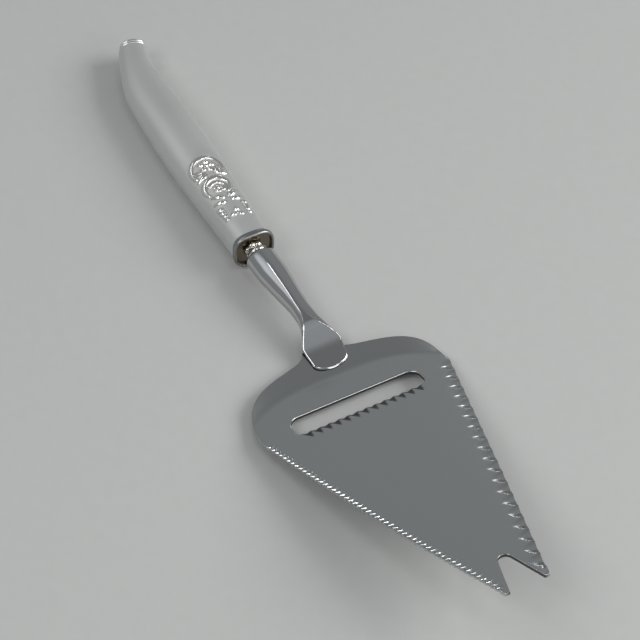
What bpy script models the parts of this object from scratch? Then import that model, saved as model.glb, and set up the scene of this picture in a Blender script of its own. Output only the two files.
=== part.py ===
# Cheese slicer: a stainless plane blade with a cutting slot and a forked tip, brazed under the spade
# end of a forged shank, whose tang is cemented into a hollow two-shell silver-plated handle.
# Metres, +Z up, +X to the fork tip, +Y to the user's left. It stands on z = 0 as it lies on a table.

import math

import bmesh
import bpy
from mathutils import Vector

for old in list(bpy.data.objects):
    bpy.data.objects.remove(old, do_unlink=True)

MM = 0.001

# Blade, a stamped sheet. Its own axes: x forward from the crease, y to the left, z off the upper face.
SHEET = 1.0 * MM
BLADE_PITCH = math.radians(14.0)
CREASE_TO_TIP = 98.8 * MM
SHOULDER_AT = 9.0 * MM
SHOULDER_HALF_WIDTH = 30.3 * MM
EDGE_BULGE = 1.1 * MM
PRONG_OUTER_HALF_WIDTH = 6.3 * MM
HEEL_LENGTH = 19.0 * MM
HEEL_END_HALF_WIDTH = 5.2 * MM
SHOULDER_EASE = 14.0 * MM
HEEL_EASE = 3.0 * MM
CREASE_SWEEP = 9.0 * MM
CREASE_POWER = 3.2
HEEL_RISE = math.radians(29.0)
HEEL_BEND_RADIUS = 6.0 * MM

# Slot, cutting lip and fork notch of the blade.
SLOT_REAR_AT = 9.3 * MM
SLOT_GAP = 7.2 * MM
SLOT_HALF_LENGTH = 20.0 * MM
SLOT_CORNER_RADIUS = 2.8 * MM
LIP_DROP = 1.0 * MM
LIP_RUN = 4.0 * MM
LIP_BEVEL_RUN = 1.8 * MM
LIP_EDGE = 0.35 * MM
NOTCH_DEPTH = 11.9 * MM
NOTCH_RADIUS = 1.9 * MM
NOTCH_FLARE = math.radians(16.5)

# Ground serrations: fine teeth on the right edge, broad flutes on the left edge.
FINE_TEETH = 52
FINE_START_AT = 16.3 * MM
FINE_PITCH = 1.62 * MM
FINE_RUN = 2.0 * MM
FINE_DEPTH = 1.25 * MM
FLUTES = 20
FLUTE_START_AT = 14.0 * MM
FLUTE_PITCH = 4.3 * MM
FLUTE_RADIUS = 2.4 * MM
FLUTE_RUN = 4.2 * MM
FLUTE_DEPTH = 1.1 * MM

# Shank, forged in one with its spade pad and its tang. Places along x are measured back from the crease.
BRAZE_GAP = 0.3 * MM
PAD_FRONT_AT = 2.4 * MM
PAD_WIDTH = 11.6 * MM
PAD_FRONT_THICKNESS = 1.6 * MM
NECK_AT = 18.0 * MM
NECK_WIDTH = 5.5 * MM
NECK_BOTTOM = 4.5 * MM
NECK_TOP = 9.7 * MM
BOLSTER_AT = 40.0 * MM
BOLSTER_WIDTH = 9.0 * MM
BOLSTER_BOTTOM = 3.5 * MM
BOLSTER_TOP = 11.3 * MM
SHANK_END_AT = 46.4 * MM
TANG_RADIUS = 1.8 * MM
TANG_TIP_RADIUS = 1.3 * MM
TANG_LENGTH = 62.0 * MM

# Neck collar and ferrule, threaded over the tang between the shank and the handle.
FIT_GAP = 0.3 * MM
COLLAR_LENGTH = 3.9 * MM
COLLAR_RADIUS = 3.4 * MM
COLLAR_GROOVE = 0.6 * MM
FERRULE_LENGTH = 2.4 * MM
FERRULE_PROUD = 0.75 * MM
FERRULE_LIP = 0.9 * MM
FERRULE_DISH = 1.4 * MM
FERRULE_PLUG = 3.0 * MM

# Handle, two stamped shells over a cement filling. Its axis leans a little to the left, then bends further.
SHELL = 0.6 * MM
SEAM_GAP = 0.3 * MM
MOUTH_POWER = 2.8
BELLY_POWER = 2.3
MOUTH_HALF_WIDTH = 6.0 * MM
MOUTH_THICKNESS = 11.0 * MM
MOUTH_HEIGHT = 7.3 * MM
BELLY_AT = 48.0 * MM
BELLY_HALF_WIDTH = 7.9 * MM
BELLY_THICKNESS = 12.4 * MM
HOOK_AT = 74.0 * MM
HOOK_HALF_WIDTH = 7.3 * MM
HOOK_RADIUS = 70.0 * MM
WAIST_AT = 88.0 * MM
WAIST_HALF_WIDTH = 5.45 * MM
BUTT_AT = 100.0 * MM
BUTT_HALF_WIDTH = 4.2 * MM
BUTT_THICKNESS = 7.2 * MM
BUTT_HEIGHT = 6.4 * MM
BUTT_SLANT = math.radians(-7.0)
HANDLE_YAW = math.radians(1.15)
BUTT_ROUND = 0.6 * MM

slicer = bpy.data.collections.new("cheese_slicer")
tools = bpy.data.collections.new("cheese_slicer_cutters")
bpy.context.scene.collection.children.link(slicer)
bpy.context.scene.collection.children.link(tools)
tools.hide_render = True

root = bpy.data.objects.new("cheese_slicer_root", None)
slicer.objects.link(root)
blade_axes = bpy.data.objects.new("blade_axes", None)
slicer.objects.link(blade_axes)
blade_axes.parent = root
blade_axes.rotation_euler = (0.0, -BLADE_PITCH, 0.0)
blade_axes.location = (0.0, 0.0, HEEL_BEND_RADIUS * (1.0 - math.cos(BLADE_PITCH)))


def material(name, colour, metallic, roughness):
    made = bpy.data.materials.new(name)
    made.use_nodes = True
    shader = made.node_tree.nodes["Principled BSDF"]
    shader.inputs["Base Color"].default_value = (*colour, 1.0)
    shader.inputs["Metallic"].default_value = metallic
    shader.inputs["Roughness"].default_value = roughness
    return made


def put(name, verts, faces, parent, look=None, closed=True):
    mesh = bpy.data.meshes.new(name)
    mesh.from_pydata([tuple(v) for v in verts], [], faces)
    if closed:
        tidy = bmesh.new()
        tidy.from_mesh(mesh)
        bmesh.ops.recalc_face_normals(tidy, faces=tidy.faces)
        tidy.to_mesh(mesh)
        tidy.free()
    made = bpy.data.objects.new(name, mesh)
    (slicer if look else tools).objects.link(made)
    made.parent = parent
    if look:
        mesh.materials.append(look)
    else:
        made.hide_render = True
        made.display_type = "WIRE"
    return made


def loft(name, rings, parent, look=None):
    """A closed body through rings that all have the same number of points."""
    count = len(rings[0])
    verts = [point for ring in rings for point in ring]
    faces = []
    for i in range(len(rings) - 1):
        for j in range(count):
            k = (j + 1) % count
            faces.append((i * count + j, i * count + k, (i + 1) * count + k, (i + 1) * count + j))
    faces.append(tuple(range(count)))
    faces.append(tuple((len(rings) - 1) * count + j for j in range(count)))
    return put(name, verts, faces, parent, look)


def prism(name, outline, low, high, parent):
    """A flat outline in x and y, made a closed block from low to high."""
    return loft(name, [[(x, y, z) for x, y in outline] for z in (low, high)], parent)


def cut(target, tool, operation="DIFFERENCE"):
    step = target.modifiers.new(tool.name, "BOOLEAN")
    step.operation = operation
    step.solver = "EXACT"
    step.object = tool


def oval(count, power):
    """Points of a unit rounded rectangle; a higher power gives squarer corners."""
    points = []
    for i in range(count):
        turn = 2.0 * math.pi * (i + 0.5) / count
        c, s = math.cos(turn), math.sin(turn)
        points.append((math.copysign(abs(c) ** (2.0 / power), c), math.copysign(abs(s) ** (2.0 / power), s)))
    return points


def smooth(stations, x):
    """A curve through (x, y) stations in rising x, with no overshoot between them."""
    if x <= stations[0][0]:
        return stations[0][1]
    if x >= stations[-1][0]:
        return stations[-1][1]
    steps = [(b[0] - a[0], (b[1] - a[1]) / (b[0] - a[0])) for a, b in zip(stations, stations[1:])]
    slopes = [steps[0][1]]
    for (h0, d0), (h1, d1) in zip(steps, steps[1:]):
        slopes.append(0.0 if d0 * d1 <= 0.0 else (h0 + h1) / (h1 / d0 + h0 / d1))
    slopes.append(steps[-1][1])
    for i, (h, _) in enumerate(steps):
        if x <= stations[i + 1][0]:
            t = (x - stations[i][0]) / h
            a, b = stations[i][1], stations[i + 1][1]
            return (a * (1.0 + 2.0 * t) * (1.0 - t) ** 2 + slopes[i] * h * t * (1.0 - t) ** 2
                    + b * t * t * (3.0 - 2.0 * t) - slopes[i + 1] * h * t * t * (1.0 - t))


# Blade: the sheet is a loft of rows across it, with the bent-up heel, then its openings are cut.
stainless = material("blade_stainless", (0.60, 0.62, 0.63), 1.0, 0.12)

heel_end = SHOULDER_AT - HEEL_LENGTH
heel_stations = []
for i in range(15):
    t = 1.0 - i / 14.0
    weights = ((1.0 - t) ** 3, 3.0 * t * (1.0 - t) ** 2, 3.0 * t * t * (1.0 - t), t ** 3)
    places = (SHOULDER_AT, SHOULDER_AT - SHOULDER_EASE, heel_end + HEEL_EASE, heel_end)
    halves = (SHOULDER_HALF_WIDTH, SHOULDER_HALF_WIDTH, HEEL_END_HALF_WIDTH, HEEL_END_HALF_WIDTH)
    heel_stations.append((sum(w * p for w, p in zip(weights, places)), sum(w * h for w, h in zip(weights, halves))))


def half_width(s):
    """The blade's half width at s from the crease: the heel's ogee curve, then a slightly bulged taper."""
    if s <= SHOULDER_AT:
        return smooth(heel_stations, s)
    along = (s - SHOULDER_AT) / (CREASE_TO_TIP - SHOULDER_AT)
    straight = SHOULDER_HALF_WIDTH + (PRONG_OUTER_HALF_WIDTH - SHOULDER_HALF_WIDTH) * along
    return straight + 4.0 * EDGE_BULGE * along * (1.0 - along)


lip_edge_at = SLOT_REAR_AT + SLOT_GAP


def sheet_height(s, y):
    """Height of the sheet's lower face over the blade's plane: the heel's bend and the cutting lip."""
    behind = CREASE_SWEEP * (abs(y) / SHOULDER_HALF_WIDTH) ** CREASE_POWER - s
    height = 0.0
    bend_run = HEEL_BEND_RADIUS * math.sin(HEEL_RISE)
    if behind > bend_run:
        height = HEEL_BEND_RADIUS * (1.0 - math.cos(HEEL_RISE)) + (behind - bend_run) * math.tan(HEEL_RISE)
    elif behind > 0.0:
        height = HEEL_BEND_RADIUS - math.sqrt(HEEL_BEND_RADIUS ** 2 - behind ** 2)
    ahead = (s - lip_edge_at) / LIP_RUN
    aside = abs(y) / SLOT_HALF_LENGTH
    if aside < 1.0 and -1.0 < ahead < 1.0:
        height -= LIP_DROP * (1.0 - max(ahead, 0.0)) ** 2 * min(1.0, 4.0 * (1.0 - aside))
    return height


rows = [s for s, _ in heel_stations]
rows += [SHOULDER_AT + (lip_edge_at - SHOULDER_AT) * i / 4.0 for i in range(1, 5)]
rows += [lip_edge_at + LIP_RUN * i / 5.0 for i in range(1, 6)]
lip_end = rows[-1]
rows += [lip_end + (CREASE_TO_TIP - lip_end) * i / 9.0 for i in range(1, 10)]
across = [(2 * j + 1) / 23.0 for j in range(-12, 12)]
sheet_verts = []
sheet_faces = []
for s in rows:
    for share in across:
        y = share * half_width(s)
        sheet_verts.append((s, y, sheet_height(s, y)))
wide = len(across)
for i in range(len(rows) - 1):
    for j in range(wide - 1):
        a = i * wide + j
        sheet_faces.append((a, a + wide, a + wide + 1, a + 1))
blade = put("blade", sheet_verts, sheet_faces, blade_axes, stainless, closed=False)
body = blade.modifiers.new("sheet", "SOLIDIFY")
body.thickness = SHEET
body.offset = 1.0
body.use_even_offset = True
blade.modifiers.new("flat_faces", "TRIANGULATE")

slot_outline = []
for sx, sy, start in ((1, 1, 0), (-1, 1, 1), (-1, -1, 2), (1, -1, 3)):
    middle = (SLOT_REAR_AT + lip_edge_at) / 2.0
    cx = middle + sx * (SLOT_GAP / 2.0 - SLOT_CORNER_RADIUS)
    cy = sy * (SLOT_HALF_LENGTH - SLOT_CORNER_RADIUS)
    for i in range(7):
        turn = math.radians(90.0 * start + 15.0 * i)
        slot_outline.append((cx + SLOT_CORNER_RADIUS * math.cos(turn), cy + SLOT_CORNER_RADIUS * math.sin(turn)))
cut(blade, prism("cut_slot", slot_outline, -6.0 * MM, 6.0 * MM, blade_axes))

notch_centre = CREASE_TO_TIP - NOTCH_DEPTH + NOTCH_RADIUS
past_tip = CREASE_TO_TIP + 5.0 * MM
notch_mouth = NOTCH_RADIUS / math.cos(NOTCH_FLARE) + (past_tip - notch_centre) * math.tan(NOTCH_FLARE)
notch_outline = [(past_tip, notch_mouth)]
for i in range(13):
    turn = math.pi / 2.0 + NOTCH_FLARE + (math.pi - 2.0 * NOTCH_FLARE) * i / 12.0
    notch_outline.append((notch_centre + NOTCH_RADIUS * math.cos(turn), NOTCH_RADIUS * math.sin(turn)))
notch_outline.append((past_tip, -notch_mouth))
cut(blade, prism("cut_notch", notch_outline, -6.0 * MM, 6.0 * MM, blade_axes))

# The lip is ground thin from above, so that the cut starts at its lower face.
bevel_half = SLOT_HALF_LENGTH - SLOT_CORNER_RADIUS
bevel_low = LIP_EDGE - LIP_DROP
bevel_rise = SHEET - LIP_EDGE + LIP_DROP * (1.0 - (1.0 - LIP_BEVEL_RUN / LIP_RUN) ** 2)
bevel_rings = []
for y in (-bevel_half, bevel_half):
    bevel_rings.append([(lip_edge_at - 0.5 * MM, y, bevel_low - 0.5 * MM * bevel_rise / LIP_BEVEL_RUN),
                        (lip_edge_at + LIP_BEVEL_RUN * 1.5, y, bevel_low + 1.5 * bevel_rise),
                        (lip_edge_at - 0.5 * MM, y, bevel_low + 1.5 * bevel_rise)])
cut(blade, loft("cut_lip_bevel", bevel_rings, blade_axes))


def edge_frame(s, side):
    """A point of the blade's edge, and the way out from it, for the left (1) or the right (-1) side."""
    step = 0.5 * MM
    slope = (half_width(s + step) - half_width(s - step)) / (2.0 * step)
    out = Vector((-slope, side, 0.0)).normalized()
    return Vector((s, side * half_width(s), SHEET)), out


def serrate(name, count, start, pitch, side, run, depth, profile):
    """Cutters that run out over the edge and rise to the upper face further in, one for each tooth."""
    taper = math.atan2(SHOULDER_HALF_WIDTH - PRONG_OUTER_HALF_WIDTH, CREASE_TO_TIP - SHOULDER_AT)
    verts = []
    faces = []
    size = len(profile)
    for i in range(count):
        at, out = edge_frame(start + pitch * (i + 0.5) * math.cos(taper), side)
        along = Vector((-out.y, out.x, 0.0))
        first = len(verts)
        for reach in (-1.25 * run, 0.5 * run):
            keel = at + out * reach - Vector((0.0, 0.0, (reach + run) * depth / run))
            verts += [keel + along * across_it + Vector((0.0, 0.0, up)) for across_it, up in profile]
        for j in range(size):
            k = (j + 1) % size
            faces.append((first + j, first + k, first + size + k, first + size + j))
        faces.append(tuple(first + j for j in range(size)))
        faces.append(tuple(first + size + j for j in range(size)))
    return put(name, verts, faces, blade_axes)


vee = [(0.0, 0.0), (0.46 * FINE_PITCH, 1.1 * FINE_DEPTH), (-0.46 * FINE_PITCH, 1.1 * FINE_DEPTH)]
cut(blade, serrate("cut_fine_teeth", FINE_TEETH, FINE_START_AT, FINE_PITCH, -1, FINE_RUN, FINE_DEPTH, vee))

hollow = []
for i in range(11):
    off = 0.48 * FLUTE_PITCH * (i / 5.0 - 1.0)
    hollow.append((off, FLUTE_RADIUS - math.sqrt(FLUTE_RADIUS ** 2 - off ** 2)))
cut(blade, serrate("cut_flutes", FLUTES, FLUTE_START_AT, FLUTE_PITCH, 1, FLUTE_RUN, FLUTE_DEPTH, hollow))

# Shank: a loft from the tang's tip, through the bolster end and the neck, to the spade pad's front.
forged = material("shank_stainless", (0.64, 0.66, 0.68), 1.0, 0.15)


def blade_point(s, lift):
    """Where a point of the blade's own axes lies on the table's axes, in x and z."""
    base = HEEL_BEND_RADIUS * (1.0 - math.cos(BLADE_PITCH))
    return (s * math.cos(BLADE_PITCH) - lift * math.sin(BLADE_PITCH),
            base + s * math.sin(BLADE_PITCH) + lift * math.cos(BLADE_PITCH))


def heel_top(x):
    """Height of the heel's upper face under the shank, or of its slope carried on behind it."""
    fine = [blade_point(-0.0005 * i, sheet_height(-0.0005 * i, 0.0)) for i in range(60)]
    fine.reverse()
    return smooth(fine, x) + SHEET / math.cos(HEEL_RISE - BLADE_PITCH)


axis_height = MOUTH_HEIGHT
end_x = -SHANK_END_AT
tang_x = end_x - TANG_LENGTH
shank_rings = []
circle = oval(24, 2.0)
for x, radius in ((tang_x, TANG_TIP_RADIUS), (tang_x + 0.4 * TANG_LENGTH, TANG_RADIUS), (end_x, TANG_RADIUS)):
    shank_rings.append([(x, radius * a, axis_height + radius * b) for a, b in circle])


def shank_ring(x, width, bottom, top, power):
    shank_rings.append([(x, width / 2.0 * a, (bottom + top) / 2.0 + (top - bottom) / 2.0 * b)
                        for a, b in oval(24, power)])


ease = 0.9 * MM
shank_ring(end_x, BOLSTER_WIDTH - 2.0 * ease, BOLSTER_BOTTOM + ease, BOLSTER_TOP - ease, 2.4)
shank_ring(end_x + 0.35 * ease, BOLSTER_WIDTH - 1.0 * ease, BOLSTER_BOTTOM + 0.5 * ease, BOLSTER_TOP - 0.5 * ease, 2.4)
shank_ring(end_x + ease, BOLSTER_WIDTH - 0.5 * ease, BOLSTER_BOTTOM + 0.2 * ease, BOLSTER_TOP - 0.2 * ease, 2.4)
for i in range(7):
    t = i / 6.0
    x = -BOLSTER_AT + (BOLSTER_AT - NECK_AT) * t
    swell = t * t * (3.0 - 2.0 * t)
    shank_ring(x, BOLSTER_WIDTH + (NECK_WIDTH - BOLSTER_WIDTH) * swell,
               BOLSTER_BOTTOM + (NECK_BOTTOM - BOLSTER_BOTTOM) * t,
               BOLSTER_TOP + (NECK_TOP - BOLSTER_TOP) * t * t, 2.3)
pad_run = NECK_AT - PAD_FRONT_AT
front_top = heel_top(-PAD_FRONT_AT) + BRAZE_GAP + PAD_FRONT_THICKNESS
for share, wide_share, power in ((0.17, 0.16, 2.5), (0.3, 0.42, 2.8), (0.42, 0.72, 3.2), (0.54, 0.93, 3.8),
                                 (0.66, 1.0, 4.2), (0.78, 0.95, 4.4), (0.88, 0.80, 4.4), (0.95, 0.62, 4.2),
                                 (1.0, 0.28, 3.6)):
    x = -NECK_AT + pad_run * share
    width = NECK_WIDTH + (PAD_WIDTH - NECK_WIDTH) * wide_share if share < 0.9 else PAD_WIDTH * wide_share
    top = NECK_TOP + (front_top - NECK_TOP) * share ** 1.35
    down = min(1.0, share / 0.45)
    bottom = NECK_BOTTOM * (1.0 - down) + (heel_top(x) + BRAZE_GAP) * down
    shank_ring(x, width, bottom, top, power)
shank = loft("shank", shank_rings, root, forged)

# Neck collar: a turned ring of two round beads, loose over the tang until the handle is set.
bright = material("collar_silver", (0.80, 0.79, 0.77), 1.0, 0.2)
collar_end = end_x - FIT_GAP
collar_start = collar_end - COLLAR_LENGTH
collar_bore = TANG_RADIUS + FIT_GAP
collar_rings = []
for i in range(13):
    t = i / 12.0
    radius = COLLAR_RADIUS - COLLAR_GROOVE * (1.0 - abs(math.sin(2.0 * math.pi * t)))
    x = collar_start + COLLAR_LENGTH * t
    collar_rings.append([(x, radius * a, axis_height + radius * b) for a, b in oval(32, 2.0)])
collar = loft("collar", collar_rings, root, bright)


def tang_bore(name, radius, x_low, x_high):
    return loft(name, [[(x, radius * a, axis_height + radius * b) for a, b in oval(32, 2.0)]
                       for x in (x_low, x_high)], root)


cut(collar, tang_bore("cut_collar_bore", collar_bore, collar_start - 1.0 * MM, collar_end + 1.0 * MM))

# Ferrule: a rolled rim over the handle's mouth, dished in front, with a plug inside and the tang's bore.
capped = material("ferrule_silver", (0.74, 0.74, 0.73), 1.0, 0.25)
dish_x = collar_start - FIT_GAP
rim_x = dish_x + FERRULE_DISH
seat_x = rim_x - FERRULE_LENGTH
mouth_x = seat_x - FIT_GAP


def mouth_ring(x, grow):
    """The handle's mouth outline at x, grown or drawn in by an amount all round."""
    return [(x, (MOUTH_HALF_WIDTH + grow) * a, axis_height + (MOUTH_THICKNESS / 2.0 + grow) * b)
            for a, b in oval(40, MOUTH_POWER)]


plug = -(SHELL + FIT_GAP)
ferrule_rings = [mouth_ring(mouth_x - FERRULE_PLUG, plug - 0.3 * MM), mouth_ring(mouth_x - FERRULE_PLUG + 0.4 * MM, plug),
                 mouth_ring(seat_x, plug), mouth_ring(seat_x, 0.0)]
for i in range(7):
    turn = math.pi * i / 6.0
    x = seat_x + FERRULE_LENGTH * (1.0 - math.cos(turn)) / 2.0
    ferrule_rings.append(mouth_ring(x, FERRULE_PROUD * math.sin(turn) if i else 0.1 * FERRULE_PROUD))
ferrule_rings += [mouth_ring(rim_x, -FERRULE_LIP), mouth_ring(rim_x - 0.55 * FERRULE_DISH, -1.3 * FERRULE_LIP),
                  mouth_ring(dish_x, -2.2 * FERRULE_LIP)]
ferrule = loft("ferrule", ferrule_rings, root, capped)
cut(ferrule, tang_bore("cut_ferrule_bore", collar_bore, mouth_x - FERRULE_PLUG - 1.0 * MM, rim_x + 1.0 * MM))

# Handle: the outer form is a loft along the bent axis; the cavity is the same form, one wall smaller.
silver = material("handle_silver", (0.72, 0.72, 0.70), 1.0, 0.38)


def handle_ring(run, inset, shift=0.0):
    """The handle's section at a run back from its mouth, drawn in by the inset and moved along by the shift."""
    bent = max(0.0, run - HOOK_AT) / HOOK_RADIUS
    aside = HOOK_RADIUS * (1.0 - math.cos(bent)) + run * math.tan(HANDLE_YAW)
    middle = Vector((mouth_x - min(run, HOOK_AT) - HOOK_RADIUS * math.sin(bent), aside, 0.0))
    slanted = max(0.0, (run - HOOK_AT) / (BUTT_AT - HOOK_AT))
    lean = BUTT_SLANT * slanted * slanted * (3.0 - 2.0 * slanted)
    facing = Vector((math.sin(bent + lean), math.cos(bent + lean), 0.0))
    back = Vector((-math.cos(bent + lean), math.sin(bent + lean), 0.0))
    half = smooth(((0.0, MOUTH_HALF_WIDTH), (BELLY_AT, BELLY_HALF_WIDTH), (HOOK_AT, HOOK_HALF_WIDTH),
                   (WAIST_AT, WAIST_HALF_WIDTH), (BUTT_AT, BUTT_HALF_WIDTH)), run) / math.cos(lean)
    thick = smooth(((0.0, MOUTH_THICKNESS), (BELLY_AT, BELLY_THICKNESS), (BUTT_AT, BUTT_THICKNESS)), run)
    height = smooth(((0.0, MOUTH_HEIGHT), (BELLY_AT, BELLY_THICKNESS / 2.0), (BUTT_AT, BUTT_HEIGHT)), run)
    ring = []
    for a, b in oval(40, smooth(((0.0, MOUTH_POWER), (0.6 * BELLY_AT, BELLY_POWER)), run)):
        point = middle + facing * ((half - inset) * a) + back * shift
        ring.append((point.x, point.y, height + (thick / 2.0 - inset) * b))
    return ring


def handle_body(name, inset, start, end_in, look=None):
    """The handle's form drawn in by the inset, from a start run, with a rounded end or one drawn in by end_in."""
    rings = [handle_ring(0.0, inset, start)] if start < 0.0 else []
    stops = [max(start, 0.0) + (HOOK_AT - max(start, 0.0)) * i / 9.0 for i in range(9)]
    stops += [HOOK_AT + (BUTT_AT - HOOK_AT) * i / 12.0 for i in range(12)]
    rings += [handle_ring(run, inset) for run in stops]
    if end_in > 0.0:
        rings.append(handle_ring(BUTT_AT, inset, -end_in))
    else:
        for i in range(5):
            turn = math.pi / 2.0 * i / 4.0
            rings.append(handle_ring(BUTT_AT, inset + BUTT_ROUND * (1.0 - math.cos(turn)), BUTT_ROUND * math.sin(turn)))
    return loft(name, rings, root, look)


seam = BELLY_THICKNESS / 2.0


def block(name, x_low, x_high, low, high):
    """A block across the handle between two places along it and two heights."""
    outline = [(x_low, -40.0 * MM), (x_high, -40.0 * MM), (x_high, 40.0 * MM), (x_low, 40.0 * MM)]
    return prism(name, outline, low, high, root)


handle_far = mouth_x - BUTT_AT - 20.0 * MM
handle_near = mouth_x + 20.0 * MM
cavity = handle_body("cut_handle_cavity", SHELL, -3.0 * MM, SHELL)
upper = handle_body("handle_upper_shell", 0.0, 0.0, 0.0, silver)
cut(upper, cavity)
cut(upper, block("cut_below_seam", handle_far, handle_near, -20.0 * MM, seam + SEAM_GAP / 2.0))
lower = handle_body("handle_lower_shell", 0.0, 0.0, 0.0, silver)
cut(lower, cavity)
cut(lower, block("cut_above_seam", handle_far, handle_near, seam - SEAM_GAP / 2.0, 40.0 * MM))

# Cement: the filling cast between the shells, behind the ferrule's plug, with the tang set into it.
cement_look = material("cement_grey", (0.32, 0.27, 0.22), 0.0, 0.9)
cement = handle_body("handle_cement", SHELL + FIT_GAP, FERRULE_PLUG + FIT_GAP, SHELL + FIT_GAP, cement_look)
cut(cement, tang_bore("cut_tang_bore", collar_bore, tang_x - FIT_GAP, mouth_x + 2.0 * MM))

# Placing: the whole stands with the middle of its box over the origin and its lowest point on z = 0.
bpy.context.view_layer.update()
graph = bpy.context.evaluated_depsgraph_get()
corners = []
for piece in (blade, shank, collar, ferrule, upper, lower, cement):
    shown = piece.evaluated_get(graph)
    corners += [shown.matrix_world @ vertex.co for vertex in shown.data.vertices]
lows = [min(c[k] for c in corners) for k in range(3)]
highs = [max(c[k] for c in corners) for k in range(3)]
root.location = (-(lows[0] + highs[0]) / 2.0, -(lows[1] + highs[1]) / 2.0, -lows[2])
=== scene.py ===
# The dressed cheese slicer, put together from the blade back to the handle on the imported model's frame:
# +X to the fork tip, +Y to the user's left, +Z up from the table.
# Sizes are in millimetres until a mesh is made, because the frame is in metres.

import math

import bpy
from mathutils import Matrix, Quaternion, Vector, kdtree
from mathutils.geometry import delaunay_2d_cdt


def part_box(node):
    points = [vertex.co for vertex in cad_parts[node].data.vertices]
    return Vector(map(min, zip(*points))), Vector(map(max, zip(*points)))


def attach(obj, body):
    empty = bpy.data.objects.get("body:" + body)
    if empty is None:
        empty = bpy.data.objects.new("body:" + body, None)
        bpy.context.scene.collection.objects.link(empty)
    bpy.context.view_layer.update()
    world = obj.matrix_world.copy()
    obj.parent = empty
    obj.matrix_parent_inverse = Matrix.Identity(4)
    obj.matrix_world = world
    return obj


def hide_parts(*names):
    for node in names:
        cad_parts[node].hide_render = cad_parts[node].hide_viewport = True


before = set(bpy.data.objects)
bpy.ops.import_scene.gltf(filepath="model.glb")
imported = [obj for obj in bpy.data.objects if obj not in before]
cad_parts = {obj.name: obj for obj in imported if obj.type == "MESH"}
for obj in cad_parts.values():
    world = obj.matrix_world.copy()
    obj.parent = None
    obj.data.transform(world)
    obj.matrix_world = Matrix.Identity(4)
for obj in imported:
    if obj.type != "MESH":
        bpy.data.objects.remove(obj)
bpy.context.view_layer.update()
MM = 0.001

# Blade: one sheet of stainless steel, stamped to the shape of a trowel, bent up at the heel and polished.
# The front lip of its slot is pressed down, and the lip and both long edges are ground from above:
# short teeth on the right edge and on the lip, broad flutes on the left edge.
SHEET = 1.0
PITCH = math.radians(14.0)
TIP_AT = 98.8
PRONG_HALF = 6.3
# The right (-1) and left (1) shoulder: where it is widest, its half-width, how gently it turns into the
# heel and the heel into its end, and how far the long edge in front of it bows out.
SHOULDERS = {
    -1: {"at": 14.0, "half": 29.9, "ease": 24.0, "heel_ease": 5.5, "bulge": 1.2},
    1: {"at": 12.0, "half": 30.2, "ease": 22.0, "heel_ease": 5.5, "bulge": 0.1},
}
GRIND_FROM = 9.0
HEEL_END_AT = -10.0
HEEL_END_HALF = 5.2
CREASE_SWEEP = 9.0
CREASE_POWER = 3.2
HEEL_RISE = math.radians(29.0)
HEEL_BEND = 6.0
SLOT_REAR_AT = 9.3
LIP_AT = 16.5
SLOT_HALF = 20.0
SLOT_CORNER = 3.3
LIP_CORNERS = {-1: 0.8, 1: 2.1}
LIP_DROP = 0.15
LIP_RUN = 3.0
LIP_TEETH = 13
LIP_FROM = -19.2
LIP_PITCH = 2.85
LIP_LEAN = 0.3
NOTCH_DEPTH = 11.9
NOTCH_RADIUS = 1.9
NOTCH_FLARE = math.radians(16.5)
TEETH = 52
TEETH_FROM = 16.3
TOOTH_PITCH = 1.62
FLUTES = 19
FLUTES_FROM = 11.7
FLUTE_PITCH = 4.6
RIM_ROUND = 0.12
SLOT_ROUND = 0.3
FAR_INSET = 99.0
HEEL_STOPS = 70
TOOTH_STOPS = 8
FLUTE_STOPS = 20
HEEL_ROW = 0.7
PLATE_ROW = 2.6
PLATE_FROM = 11.0
NEAR_SLOT = 2.0
NEAR_NOTCH = 3.0

TAPER = math.atan2(SHOULDERS[1]["half"] - PRONG_HALF, TIP_AT - SHOULDERS[1]["at"])
crease_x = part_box("blade")[1].x / MM - TIP_AT * math.cos(PITCH)
crease_z = HEEL_BEND * (1.0 - math.cos(PITCH))


def heel_point(t, side):
    """The heel's ogee outline, from one side's shoulder (0) to the end under the shank's pad (1)."""
    shoulder = SHOULDERS[side]
    weights = ((1.0 - t) ** 3, 3.0 * t * (1.0 - t) ** 2, 3.0 * t * t * (1.0 - t), t ** 3)
    eased = shoulder["at"] - shoulder["ease"]
    places = (shoulder["at"], eased, HEEL_END_AT + shoulder["heel_ease"], HEEL_END_AT)
    halves = (shoulder["half"], shoulder["half"], HEEL_END_HALF, HEEL_END_HALF)
    return sum(w * p for w, p in zip(weights, places)), sum(w * h for w, h in zip(weights, halves))


def half_width(s, y):
    """Half the blade's width at s in front of the crease, on the side that y is on."""
    side = 1 if y > 0.0 else -1
    shoulder = SHOULDERS[side]
    if s < shoulder["at"]:
        near, far = 0.0, 1.0
        for _ in range(30):
            t = (near + far) / 2.0
            near, far = (t, far) if heel_point(t, side)[0] > s else (near, t)
        return heel_point(near, side)[1]
    along = (s - shoulder["at"]) / (TIP_AT - shoulder["at"])
    straight = shoulder["half"] + (PRONG_HALF - shoulder["half"]) * along
    return straight + 4.0 * shoulder["bulge"] * along * (1.0 - along)


def sheet_height(s, y):
    """Height of the sheet's lower face over the blade's plane: the bent heel and the pressed lip."""
    behind = CREASE_SWEEP * (abs(y) / SHOULDERS[1]["half"]) ** CREASE_POWER - s
    bend_run = HEEL_BEND * math.sin(HEEL_RISE)
    height = 0.0
    if behind > bend_run:
        height = HEEL_BEND * (1.0 - math.cos(HEEL_RISE)) + (behind - bend_run) * math.tan(HEEL_RISE)
    elif behind > 0.0:
        height = HEEL_BEND - math.sqrt(HEEL_BEND ** 2 - behind ** 2)
    ahead = abs(s - LIP_AT) / LIP_RUN
    aside = abs(y) / SLOT_HALF
    if ahead < 1.0 and aside < 1.0:
        height -= LIP_DROP * (1.0 - ahead) ** 2 * min(1.0, 5.0 * (1.0 - aside))
    return height


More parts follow.
